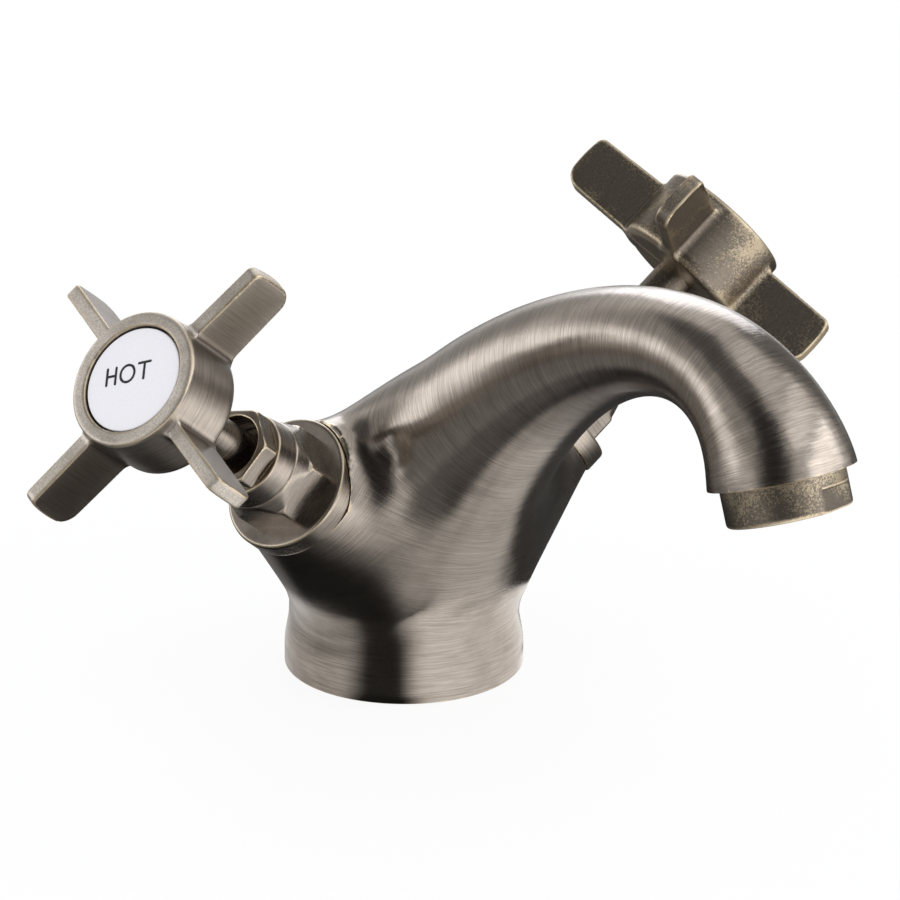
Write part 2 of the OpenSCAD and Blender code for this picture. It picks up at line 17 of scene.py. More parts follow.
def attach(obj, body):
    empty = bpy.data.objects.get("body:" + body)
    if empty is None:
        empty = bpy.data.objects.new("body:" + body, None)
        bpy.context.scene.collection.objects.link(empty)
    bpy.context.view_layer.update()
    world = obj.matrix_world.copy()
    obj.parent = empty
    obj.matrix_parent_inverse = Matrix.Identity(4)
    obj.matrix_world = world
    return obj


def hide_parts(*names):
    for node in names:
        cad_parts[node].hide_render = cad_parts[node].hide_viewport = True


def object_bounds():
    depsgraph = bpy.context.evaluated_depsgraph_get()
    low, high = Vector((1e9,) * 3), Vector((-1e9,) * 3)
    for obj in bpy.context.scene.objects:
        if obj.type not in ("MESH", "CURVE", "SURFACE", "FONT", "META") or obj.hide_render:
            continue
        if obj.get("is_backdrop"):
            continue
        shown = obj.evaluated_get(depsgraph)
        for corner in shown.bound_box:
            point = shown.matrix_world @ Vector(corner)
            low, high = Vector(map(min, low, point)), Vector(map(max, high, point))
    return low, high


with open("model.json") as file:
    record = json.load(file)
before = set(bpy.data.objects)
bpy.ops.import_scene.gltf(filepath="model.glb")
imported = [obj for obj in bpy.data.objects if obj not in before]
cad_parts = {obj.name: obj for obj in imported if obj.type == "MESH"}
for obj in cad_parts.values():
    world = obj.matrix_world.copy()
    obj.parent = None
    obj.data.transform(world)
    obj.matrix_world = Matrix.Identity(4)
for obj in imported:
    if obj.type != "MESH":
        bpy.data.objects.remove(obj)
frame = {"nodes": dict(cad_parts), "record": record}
NODES = frame["nodes"]
first_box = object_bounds()
MM = 0.001

# foot and spout
FOOT_R, FOOT_H = 25.9, 4.0
WAIST_R, WAIST_H, NECK_RISE, NECK_R = 24.9, 12.0, 43.0, 25.0
REACH, OUTLET_H, OUTLET_TILT, OUTLET_R = 124.2, 81.4, math.radians(20), 15.4
ARCH_REACH, ARCH_H, OUTLET_PULL, ARCH_R, BELL_R, ARCH_T = 92.6, 136.8, 13.4, 11.0, 14.7, 0.6
# arms
ARM_TILT, ARM_SWEEP = math.radians(39), math.radians(7.7)
ARM_MEET = np.array([0.0, -1.0, 21.7])
ARM_LEN, ARM_END_R, ARM_ROOT_R, ARM_ROOT_AT, ARM_DOME = 42.0, 14.3, 21.5, 14.0, 18.0
# how widely the spout runs into the arms at the foot, what the neck and the saddle add, and arm into arm
FOOT_BLEND, NECK_BLEND, SADDLE_BLEND, ARMS_BLEND = 4.0, 12.0, 11.0, 9.0
NECK_SPAN, SADDLE_SPAN = (14, 42), (52, 72)
# faint hollows beside the neck
HOLLOW_AT, HOLLOW_SIZE, HOLLOW_DEPTH = np.array([-20.9, -23.8, 59.6]), np.array([2.6, 2.6, 3.6]), 0.9
# openings of the casting
SEAT_R, MOUTH_R, MOUTH_DEEP = 15.0, 12.1, 9.5
TAIL_R, TAIL_DEEP, TAIL_X, TAIL_Y = 5.0, 12.0, 9.5, -2.28
STUD_R, STUD_DEEP, STUD_Y = 4.0, 14.0, 12.0
GROOVE_R, GROOVE_INNER_R, GROOVE_DEEP = 23.1, 19.4, 2.0
# headwork, as places along the arm
COLLAR_R, COLLAR_BORE_R, COLLAR_FACE = 14.8, 8.5, 47.0
HEX_R, HEX_TOP, HEX_TURN = 20.3 / math.sqrt(3), 53.0, math.radians(51)
SHOULDER_R, SHOULDER_END_R, SHOULDER_TOP = 10.9, 10.0, 57.3
NECK_LOW_R, NECK_TOP_R, NECK_TOP = 9.8, 9.3, 62.8
NUT_R, NUT_TOP, NUT_BORE_R, NUT_TURN = 16.0 / math.sqrt(3), 67.4, 6.8, math.radians(47)
SPINDLE_R, SPINDLE_LOW, SPINDLE_TOP = 4.4, 60.0, 88.0
# handles
HUB_AT, HUB_FRONT, HUB_R = 86.6, 103.3, 15.1
PADDLE_R, PADDLE_T, PADDLE_W, PADDLE_TIP_W = 34.0, 3.4, 13.3, 12.5
TIP_BOW, TIP_BACK, FRONT_CORNER, BACK_CORNER = 0.6, 0.42, 1.3, 3.4
FRONT_ROUND, BACK_ROUND, EDGE_ROUND, ROOT_FILLET, POCKET_ROUND = 1.0, 2.6, 0.55, 1.8, 0.5
PADDLE_MID = HUB_AT + 0.5 + PADDLE_W / 2
TURN = {"hot": math.radians(65.4), "cold": math.radians(54.9)}
DISC_R, DISC_GAP, DISC_FLOOR, DISC_TOP, DISC_ROUND = 11.5, 0.4, 100.8, 102.8, 0.3
# words on the discs
CAP_H, STROKE, PRINT_H, WORD_TURN = 3.7, 0.6, 0.06, math.radians(-63.5)
WORD_SHIFT = {"hot": (-1.3, -0.3), "cold": (-0.6, -1.65)}
# aerator
AERATOR_R, AERATOR_H, FLATS_R, FLATS_H, FLATS_TURN = 13.0, 8.2, 11.8, 5.0, math.radians(19)
LIP_R, LIP_H, INSIDE_R = 9.6, 1.0, 10.5


def smooth(x, low, high):
    """Rises from 0 at low to 1 at high: 3u^2 - 2u^3."""
    u = np.clip((x - low) / (high - low), 0, 1)
    return u * u * (3 - 2 * u)


def join(a, b, k):
    """Smooth union of two fields: min(a, b) - h^2 k / 4 with h = max(k - |a - b|, 0) / k. A larger k rounds
    the join more."""
    h = np.maximum(k - np.abs(a - b), 0) / k
    return np.minimum(a, b) - h * h * k / 4


def cut(a, b, k):
    """Smooth overlap of two fields: the smooth union with every sign turned."""
    return -join(-a, -b, k)


# The spout's centre line


def weights(t):
    """The five Bernstein weights of a quartic at t."""
    u = 1 - t
    return np.stack([u**4, 4 * u**3 * t, 6 * u**2 * t**2, 4 * u * t**3, t**4], -1)


OUT_DIR = np.array([-math.sin(OUTLET_TILT), -math.cos(OUTLET_TILT)])
OUT_POINT = np.array([-REACH, OUTLET_H])
BELL_POINT = OUT_POINT - OUTLET_PULL * OUT_DIR
PATH = np.array([[0, WAIST_H], [0, WAIST_H + NECK_RISE], [-ARCH_REACH, ARCH_H], BELL_POINT, OUT_POINT])
RADII = np.array([WAIST_R, NECK_R, 0, BELL_R, OUTLET_R])
ARCH_WEIGHTS = weights(np.array([ARCH_T]))[0]
RADII[2] = (ARCH_R - ARCH_WEIGHTS @ RADII) / ARCH_WEIGHTS[2]
t = np.linspace(0, 1, 161)
low = np.linspace(-8, WAIST_H, 21)[:-1]
far = np.linspace(0, 12, 13)[1:]
below, beyond = np.stack([0 * low, low], -1), OUT_POINT + far[:, None] * OUT_DIR
CENTRE = np.concatenate([below, weights(t) @ PATH, beyond])
foot = FOOT_R + (WAIST_R - FOOT_R) * smooth(low, FOOT_H, WAIST_H)
RADIUS = np.concatenate([foot, weights(t) @ RADII, OUTLET_R + 0 * far])
STATION = np.concatenate([[0], np.cumsum(np.linalg.norm(np.diff(CENTRE, axis=0), axis=1))])
STATION += low[0] - STATION[0]
AHEAD = np.gradient(CENTRE, STATION, axis=0)
AHEAD /= np.linalg.norm(AHEAD, axis=1)[:, None]


def on_path(p):
    """The nearest place of the centre line to each point: its station, the distance from the line and the
    offset in the plane of the path. Works in blocks to keep the table of distances small."""
    block = 40000
    station, reach, off = np.empty(len(p)), np.empty(len(p)), np.empty(len(p))
    for a in range(0, len(p), block):
        q = p[a:a + block]
        d2 = (q[:, 1:2] - CENTRE[:, 0]) ** 2 + (q[:, 2:3] - CENTRE[:, 1]) ** 2
        j = d2.argmin(1)
        v = q[:, 1:] - CENTRE[j]
        side = v[:, 1] * AHEAD[j, 0] - v[:, 0] * AHEAD[j, 1]
        station[a:a + block] = STATION[j] + (v * AHEAD[j]).sum(1)
        off[a:a + block] = side
        reach[a:a + block] = np.hypot(q[:, 0], side)
    return station, reach, off


def arm_axes(side):
    """Columns are the arm's own x, y and outward axes: tipped over from +Z to the tilt, then turned by the
    sweep, and mirrored for the cold side."""
    c, s = math.cos(ARM_SWEEP), math.sin(ARM_SWEEP)
    k, m = math.cos(ARM_TILT - math.pi / 2), math.sin(ARM_TILT - math.pi / 2)
    axes = np.array([[c, -s, 0], [s, c, 0], [0, 0, 1]]) @ np.array([[k, 0, m], [0, 1, 0], [-m, 0, k]])
    if side == "cold":
        axes[0] *= -1
    return axes


def arm_field(local):
    """A round arm whose radius falls evenly from the root to the collar, with an elliptic inner end."""
    s, r = local[:, 2], np.hypot(local[:, 0], local[:, 1])
    root = ARM_ROOT_R * np.sqrt(np.clip(1 - ((ARM_ROOT_AT - s) / ARM_DOME) ** 2, 1e-4, 1))
    slope = ARM_ROOT_R + (ARM_END_R - ARM_ROOT_R) * (s - ARM_ROOT_AT) / (ARM_LEN - ARM_ROOT_AT)
    f = r - np.where(s < ARM_ROOT_AT, root, slope) + np.maximum(ARM_ROOT_AT - ARM_DOME - s, 0)
    return np.maximum(f, s - ARM_LEN - 2)


def body_field(p):
    """Foot, neck and spout as one round sweep, distance from the path less its radius, blended with the
    arms. The blend is tight at the foot and wide above, as in a casting. A bell curve makes the hollows."""
    station, reach, _ = on_path(p)
    ends = np.maximum(station - STATION[-4], -station - 5)
    spout = np.maximum(reach - np.interp(station, STATION, RADIUS), ends)
    hot, cold = [arm_field((p * flip - ARM_MEET) @ arm_axes("hot")) for flip in (1, np.array([-1, 1, 1]))]
    z = p[:, 2]
    k = FOOT_BLEND + NECK_BLEND * smooth(z, *NECK_SPAN) + SADDLE_BLEND * smooth(z, *SADDLE_SPAN)
    f = join(spout, join(hot, cold, ARMS_BLEND), k)
    half = np.stack([-np.abs(p[:, 0]), p[:, 1], z], -1)
    return f + HOLLOW_DEPTH * np.exp(-(((half - HOLLOW_AT) / HOLLOW_SIZE) ** 2).sum(1))


def paddle_half(along):
    """Half the height of a paddle, which falls evenly from the hub to the tip."""
    return (PADDLE_W + (PADDLE_TIP_W - PADDLE_W) * (along - HUB_R) / (PADDLE_R - HUB_R)) / 2


def handle_field(turn):
    """The field of a cross whose first paddle is turned by an angle. The hub is a cylinder cut by its two
    ends. A paddle is a rounded rectangle seen from its side, with a bowed tip, cut to its thickness. Both
    run together with a small fillet, and the disc's pocket is taken out of the front."""
    c, s = math.cos(turn), math.sin(turn)

    def field(p):
        r, z = np.hypot(p[:, 0], p[:, 1]), p[:, 2]
        hub = cut(cut(r - HUB_R, z - HUB_FRONT, FRONT_ROUND), HUB_AT - z, BACK_ROUND)
        u, w = np.abs(c * p[:, 0] + s * p[:, 1]), np.abs(c * p[:, 1] - s * p[:, 0])
        along, across = np.maximum(u, w), np.minimum(u, w)
        half = paddle_half(along)
        corner = FRONT_CORNER + (BACK_CORNER - FRONT_CORNER) * smooth(PADDLE_MID - z, -2, 2)
        bow = TIP_BOW * (1 - ((z - PADDLE_MID) / half) ** 2)
        qu = along - PADDLE_R - bow + TIP_BACK + corner
        qz = np.abs(z - PADDLE_MID) - half + corner
        flat = np.hypot(np.maximum(qu, 0), np.maximum(qz, 0)) + np.minimum(np.maximum(qu, qz), 0) - corner
        solid = join(hub, cut(flat, across - PADDLE_T / 2, EDGE_ROUND), ROOT_FILLET)
        pocket = np.maximum(r - DISC_R - DISC_GAP, DISC_FLOOR - z)
        return cut(solid, -pocket, POCKET_ROUND)
    return field


def handle_paint(p, turn):
    """For each point of a handle: its place for the brush marks, and how far it is on a paddle's broad face,
    matt, near an edge and dulled by tarnish. The marks run along the hub's axis on the broad faces and round
    it elsewhere. The faces are told apart by the slope of the field."""
    h = 0.05
    field = handle_field(turn)
    slope = np.stack([field(p + h * e) - field(p - h * e) for e in np.eye(3)], -1)
    slope /= np.maximum(np.linalg.norm(slope, axis=1), 1e-9)[:, None]
    c, s = math.cos(turn), math.sin(turn)
    u, w = np.abs(c * p[:, 0] + s * p[:, 1]), np.abs(c * p[:, 1] - s * p[:, 0])
    first, along = u > w, np.maximum(u, w)
    way = np.where(first[:, None], np.array([c, s, 0]), np.array([-s, c, 0]))
    side = np.where(first[:, None], np.array([-s, c, 0]), np.array([c, s, 0]))
    on_paddle = smooth(along, HUB_R - 0.2, HUB_R + 0.6)
    broad = smooth(np.abs((slope * side).sum(1)), 0.7, 0.9) * on_paddle
    dulled = broad * np.where(first, 0.25, 1.0)
    end = smooth(np.abs((slope * way).sum(1)), 0.5, 0.8) * smooth(along, HUB_R + 6, HUB_R + 8)
    matt = np.maximum(smooth(slope[:, 2], 0.55, 0.85), end)
    to_edge = np.minimum(PADDLE_R - along, paddle_half(along) - np.abs(p[:, 2] - PADDLE_MID))
    to_rim = np.minimum(HUB_FRONT - p[:, 2], p[:, 2] - HUB_AT)
    near_edge = np.exp(-np.clip(np.where(on_paddle > 0.5, to_edge, to_rim), 0, 9) / 1.7)
    local = np.where(broad[:, None] > 0.5, np.stack([p[:, 2], 0 * along, along], -1), p)
    return local, broad, matt, near_edge, dulled


def hexagon(p, corner, turn):
    """Distance outside the nearest flat of a six-sided prism, its corners slightly round: the smooth overlap
    of r cos(a - each flat's angle) less the distance of the flats."""
    a = np.arctan2(p[:, 1], p[:, 0]) - turn
    r = np.hypot(p[:, 0], p[:, 1])
    out = r * np.cos(a - math.pi / 6)
    for i in range(1, 6):
        out = cut(out, r * np.cos(a - math.pi / 6 - i * math.pi / 3), 0.5)
    return out - corner * math.sqrt(3) / 2


def bonnet_field(p):
    """Hexagon bevelled towards a round shoulder, on a round core, then a slimmer neck with a bore."""
    r, z = np.hypot(p[:, 0], p[:, 1]), p[:, 2]
    foot_end = ARM_LEN + 1 - z
    levels = [HEX_TOP, HEX_TOP + 1, SHOULDER_TOP]
    cone = (r - np.interp(z, levels, [HEX_R + 0.05, SHOULDER_R, SHOULDER_END_R])) * 0.9
    nut = cut(cut(hexagon(p, HEX_R, HEX_TURN), cone, 0.3), z - SHOULDER_TOP, 0.3)
    nut = cut(nut, COLLAR_FACE - 0.4 - z, 0.2)
    core = cut(cut(r - HEX_R + 1.9, foot_end, 0.3), z - HEX_TOP, 0.3)
    neck = cut(r - np.interp(z, [SHOULDER_TOP, NECK_TOP], [NECK_LOW_R, NECK_TOP_R]), z - NECK_TOP, 0.5)
    f = join(join(nut, core, 0.2), cut(neck, foot_end, 0.3), 0.2)
    return cut(f, -np.maximum(r - NUT_BORE_R - 0.4, NECK_TOP - 3 - z), 0.3)


def neck_nut_field(p):
    """Hexagon between two levels, its corners bevelled by a cone at each end, less the spindle's bore."""
    r, z = np.hypot(p[:, 0], p[:, 1]), p[:, 2]
    nut = cut(hexagon(p, NUT_R, NUT_TURN), z - NUT_TOP, 0.25)
    nut = cut(nut, (r - NUT_R + 0.55) * 0.8 + (z - NUT_TOP) * 0.6, 0.25)
    nut = cut(nut, NECK_TOP + 0.03 - z, 0.25)
    nut = cut(nut, (r - NUT_R + 0.35) * 0.7 + (NECK_TOP - z) * 0.7, 0.25)
    return cut(nut, NUT_BORE_R - r, 0.35)


def collar_field(p):
    """Ring with rounded rims: a cylinder between two levels, less its bore."""
    r, z = np.hypot(p[:, 0], p[:, 1]), p[:, 2]
    f = cut(cut(r - COLLAR_R, z - COLLAR_FACE, 0.9), ARM_LEN + 0.05 - z, 0.6)
    return cut(f, COLLAR_BORE_R - r, 0.5)


def aerator_field(p):
    """Short tube below the level 0, with a lip inside its lower end and two wrench flats outside."""
    r, z = np.hypot(p[:, 0], p[:, 1]), p[:, 2]
    f = cut(cut(r - AERATOR_R, z + 0.02, 0.4), -AERATOR_H - z, 1.0)
    across = np.abs(math.cos(FLATS_TURN) * p[:, 1] - math.sin(FLATS_TURN) * p[:, 0])
    f = cut(f, -np.maximum(FLATS_R - across, z + AERATOR_H - FLATS_H), 0.35)
    opening = np.maximum(r - LIP_R, z + AERATOR_H - LIP_H)
    inside = np.maximum(np.maximum(r - INSIDE_R, LIP_H - AERATOR_H - z), z + 0.6)
    return cut(cut(f, -opening, 0.3), -inside, 0.3)


def arc(x, y, rx, ry, start, end, count=28):
    """Short straight pieces of an elliptic arc as rows of x0, y0, x1, y1. Angles: degrees from the right."""
    a = np.radians(np.linspace(start, end, count + 1))
    at = np.stack([x + rx * np.cos(a), y + ry * np.sin(a)], -1)
    return np.concatenate([at[:-1], at[1:]], 1).tolist()


def letters(side):
    """Plain strokes of the words HOT and COLD as rows of x0, y0, x1, y1, centred, with the baseline at 0."""
    middle, top = CAP_H / 2, CAP_H
    if side == "hot":
        h_rows = [(-5.4, 0, -5.4, top), (-3.2, 0, -3.2, top), (-5.4, 1.9, -3.2, 1.9)]
        t_rows = [(2.5, top, 5.4, top), (3.95, 0, 3.95, top)]
        return np.array(h_rows + t_rows + arc(-0.25, middle, 1.75, 1.92, 0, 360, 40))
    l_rows = [(1.5, top, 1.5, 0), (1.5, 0, 3.7, 0)]
    d_rows = [(4.5, 0, 4.5, top), (4.5, 0, 5.3, 0), (4.5, top, 5.3, top)]
    d_rows += arc(5.3, middle, 1.5, middle, -90, 90)
    o_rows = arc(-1.6, middle, 1.75, 1.92, 0, 360, 40)
    c_rows = arc(-5.3, middle, 1.65, 1.92, 50, 310)
    return np.array(l_rows + d_rows + o_rows + c_rows)


def word_field(side):
    """Raised print on the disc: within half a stroke's width of the nearest stroke, between two levels."""
    rows = letters(side)
    c, s = math.cos(WORD_TURN), math.sin(WORD_TURN)
    flip = 1 if side == "hot" else -1
    shift = WORD_SHIFT[side]

    def field(p):
        x = flip * (c * p[:, 0] + s * p[:, 1]) - shift[0]
        y = -s * p[:, 0] + c * p[:, 1] - shift[1]
        best = np.full(len(p), 9.0)
        for x0, y0, x1, y1 in rows:
            vx, vy = x1 - x0, y1 - y0
            u = np.clip(((x - x0) * vx + (y - y0) * vy) / (vx * vx + vy * vy), 0, 1)
            best = np.minimum(best, np.hypot(x - x0 - u * vx, y - y0 - u * vy))
        levels = np.maximum(p[:, 2] - DISC_TOP - PRINT_H, DISC_TOP - 0.02 - p[:, 2])
        return np.maximum(best - STROKE / 2, levels)
    return field


# Surfaces


def net(field, low, high, step):
    """Closed surface of a field: one vertex in each grid cell that the surface crosses, one quad for each
    grid edge that it crosses, then the vertices slide along the field's slope onto the surface. A coarse
    grid first finds the points that are near it."""
    low, high = np.array(low, float), np.array(high, float)
    n = np.ceil((high - low) / step).astype(int) + 1
    coarse = 4
    rough_n = (n + coarse - 1) // coarse + 1
    spans = [low[i] + step * coarse * np.arange(rough_n[i]) for i in range(3)]
    where = np.stack(np.meshgrid(*spans, indexing="ij"), -1)
    rough = field(where.reshape(-1, 3)).reshape(rough_n)
    pick = [np.minimum(np.round(np.arange(n[i]) / coarse).astype(int), rough_n[i] - 1) for i in range(3)]
    value = rough[np.ix_(*pick)]
    near = np.abs(value) < step * coarse * 2.2
    value[near] = field(low + step * np.argwhere(near))
    inside = value < 0
    span = [slice(0, -1), slice(1, None)]
    corners = [(i, j, k) for i in (0, 1) for j in (0, 1) for k in (0, 1)]
    count = sum(inside[span[i], span[j], span[k]].astype(np.int8) for i, j, k in corners)
    mixed = (count > 0) & (count < 8)
    cells = np.argwhere(mixed)
    number = np.full(mixed.shape, -1)
    number[mixed] = np.arange(len(cells))
    total, hits = np.zeros((len(cells), 3)), np.zeros(len(cells))
    for axis in range(3):
        for u in (0, 1):
            for v in (0, 1):
                start = np.zeros(3, int)
                start[(axis + 1) % 3], start[(axis + 2) % 3] = u, v
                end = start.copy()
                end[axis] = 1
                a = value[tuple((cells + start).T)]
                b = value[tuple((cells + end).T)]
                cross = (a < 0) != (b < 0)
                share = np.where(cross, a / np.where(cross, a - b, 1), 0)
                total += (start + share[:, None] * (end - start)) * cross[:, None]
                hits += cross
    points = low + step * (cells + total / hits[:, None])
    quads = []
    for axis in range(3):
        u, v = (axis + 1) % 3, (axis + 2) % 3
        a = np.take(inside, np.arange(n[axis] - 1), axis)
        b = np.take(inside, np.arange(1, n[axis]), axis)
        edge = np.argwhere(a != b)
        edge = edge[(edge[:, u] > 0) & (edge[:, v] > 0) & (edge[:, u] < n[u] - 1) & (edge[:, v] < n[v] - 1)]
        flip = ~a[tuple(edge.T)]
        ring = []
        for du, dv in ((-1, -1), (0, -1), (0, 0), (-1, 0)):
            cell = edge.copy()
            cell[:, u] += du
            cell[:, v] += dv
            ring.append(number[tuple(cell.T)])
        quad = np.stack(ring, -1)
        quad[flip] = quad[flip][:, ::-1]
        quads.append(quad)
    for _ in range(4):
        points = points - settle(field, points, step)
    return points, np.concatenate(quads)


def settle(field, p, step):
    """One Newton step of each point towards the surface, f slope / |slope|^2, at most a grid step long."""
    h = 0.02
    f = field(p)
    slope = np.stack([(field(p + h * e) - f) / h for e in np.eye(3)], -1)
    move = f[:, None] * slope / np.maximum((slope**2).sum(1), 0.2)[:, None]
    size = np.linalg.norm(move, axis=1)[:, None]
    return move * np.minimum(1, step / np.maximum(size, 1e-9))


def revolve(profile, count):
    """Closed surface round +Z from a profile of (radius, level) points whose ends are on the axis."""
    profile = np.array(profile, float)
    a = 2 * np.pi * np.arange(count) / count
    ring = profile[1:-1]
    r, z = ring[:, :1], ring[:, 1:]
    wall = np.stack([r * np.cos(a), r * np.sin(a), z + 0 * a], -1).reshape(-1, 3)
    points = np.concatenate([wall, [[0, 0, profile[0, 1]], [0, 0, profile[-1, 1]]]])
    i = np.arange(count)
    k = (i + 1) % count
    faces = []
    for j in range(0, (len(ring) - 1) * count, count):
        faces += np.stack([j + i, j + k, j + count + k, j + count + i], -1).tolist()
    first, last, top = len(wall), len(wall) + 1, (len(ring) - 1) * count
    faces += np.stack([first + 0 * i, k, i], -1).tolist()
    faces += np.stack([last + 0 * i, top + i, top + k], -1).tolist()
    return points, faces


# Meshes


def mesh_of(name, points, faces, flip=False):
    """A mesh object in metres from points in millimetres. Flip turns its faces, for a mirrored shape."""
    faces = faces.tolist() if isinstance(faces, np.ndarray) else faces
    if flip:
        faces = [f[::-1] for f in faces]
    mesh = bpy.data.meshes.new(name)
    mesh.from_pydata((np.asarray(points) * MM).tolist(), [], faces)
    obj = bpy.data.objects.new(name, mesh)
    bpy.context.scene.collection.objects.link(obj)
    return obj


def rod(radius, low, high, axes=np.eye(3), place=(0, 0, 0), inner=0, count=96):
    """A round cutter from one level to another along its own third axis, with a hole where inner is given.
    Its walls are quads between circles."""
    a = 2 * np.pi * np.arange(count) / count
    profile, walls = [(radius, low), (radius, high)], [(0, 1)]
    if inner:
        profile += [(inner, high), (inner, low)]
        walls += [(1, 2), (2, 3), (3, 0)]
    points = np.concatenate([np.stack([r * np.cos(a), r * np.sin(a), z + 0 * a], -1) for r, z in profile])
    i = np.arange(count)
    k = (i + 1) % count
    faces = []
    for u, v in walls:
        faces += np.stack([u * count + i, u * count + k, v * count + k, v * count + i], -1).tolist()
    if not inner:
        faces += [i[::-1].tolist(), (count + i).tolist()]
    return mesh_of("cutter", points @ axes.T + np.asarray(place), faces, flip=np.linalg.det(axes) < 0)


def carve(obj, cutters):
    """Takes the cutters out of a closed mesh and removes them."""
    for cutter in cutters:
        step = obj.modifiers.new("carve", "BOOLEAN")
        step.operation, step.solver, step.object = "DIFFERENCE", "MANIFOLD", cutter
    made = bpy.data.meshes.new_from_object(obj.evaluated_get(bpy.context.evaluated_depsgraph_get()))
    obj.modifiers.clear()
    old = obj.data
    obj.data = made
    bpy.data.meshes.remove(old)
    made.name = obj.name
    for cutter in cutters:
        bpy.data.meshes.remove(cutter.data)


def points_of(mesh):
    """The vertices in millimetres."""
    co = np.empty(len(mesh.vertices) * 3)
    mesh.vertices.foreach_get("co", co)
    return co.reshape(-1, 3) / MM


def give(mesh, name, data):
    """Stores one number or one vector for each vertex."""
    data = np.asarray(data, np.float32)
    kind, key = ("FLOAT_VECTOR", "vector") if data.ndim == 2 else ("FLOAT", "value")
    layer = mesh.attributes.get(name) or mesh.attributes.new(name, kind, "POINT")
    layer.data.foreach_set(key, data.ravel())


def edge_wear_and_glint(mesh):
    """How sharply the surface turns outwards at each vertex, per millimetre: -2 times the sum of the steps
    to its neighbours along its normal, over the sum of their squares, then the mean of that and the
    neighbours' own value."""
    p = points_of(mesh)
    edges = np.empty(len(mesh.edges) * 2, int)
    mesh.edges.foreach_get("vertices", edges)
    a, b = edges.reshape(-1, 2).T
    normal = np.empty(len(p) * 3)
    mesh.vertex_normals.foreach_get("vector", normal)
    normal = normal.reshape(-1, 3)

    def gather(from_b, from_a):
        return np.bincount(a, from_b, len(p)) + np.bincount(b, from_a, len(p))

    step = p[b] - p[a]
    total = np.stack([gather(step[:, i], -step[:, i]) for i in range(3)], -1)
    size = (step**2).sum(1)
    bend = -2 * (total * normal).sum(1) / np.maximum(gather(size, size), 1e-9)
    count = np.bincount(a, minlength=len(p)) + np.bincount(b, minlength=len(p))
    return 0.5 * bend + 0.5 * gather(bend[b], bend[a]) / np.maximum(count, 1)


def finish_mesh(obj, grain, lay, material, body, nodes=(), paint=()):
    """Smooth shading, brushing data, material, body and what the piece replaces. Grain is the direction of
    the brush marks, and lay is each vertex's place in a frame whose third axis crosses them."""
    mesh = obj.data
    mesh.polygons.foreach_set("use_smooth", [True] * len(mesh.polygons))
    mesh.set_sharp_from_angle(angle=math.radians(40))
    give(mesh, "lay", lay)
    give(mesh, "grain", grain)
    give(mesh, "wear_and_glint", edge_wear_and_glint(mesh))
    for key, data in zip(("broad", "matt", "near_edge", "dulled"), paint):
        give(mesh, key, data)
    mesh.materials.clear()
    mesh.materials.append(material)
    if nodes:
        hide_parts(*nodes)
    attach(obj, body)


def around(local, axes):
    """The direction round the third axis at each local point, (-y, x, 0) / r, in the frame's axes."""
    r = np.maximum(np.hypot(local[:, 0], local[:, 1]), 1e-6)[:, None]
    tangent = np.stack([-local[:, 1], local[:, 0], 0 * local[:, 0]], -1) / r
    return tangent @ axes.T


def on_arm(side, look, node, surface, material, turns=False, lay=None, paint=()):
    """Lays a surface made round +Z on one arm, in place of a CAD node. What turns rides with the handle."""
    points, faces = surface
    axes = arm_axes(side)
    obj = mesh_of(f"{side}_{look}", ARM_MEET + points @ axes.T, faces, flip=side == "cold")
    grain = around(points, axes)
    if paint:
        grain = np.where(paint[0][:, None] > 0.5, axes[:, 2], grain)
    nodes = (f"{side}_{node}",) if node else ()
    body = side + "_valve" if turns else "tap"
    finish_mesh(obj, grain, points if lay is None else lay, material, body, nodes, paint)


# Materials


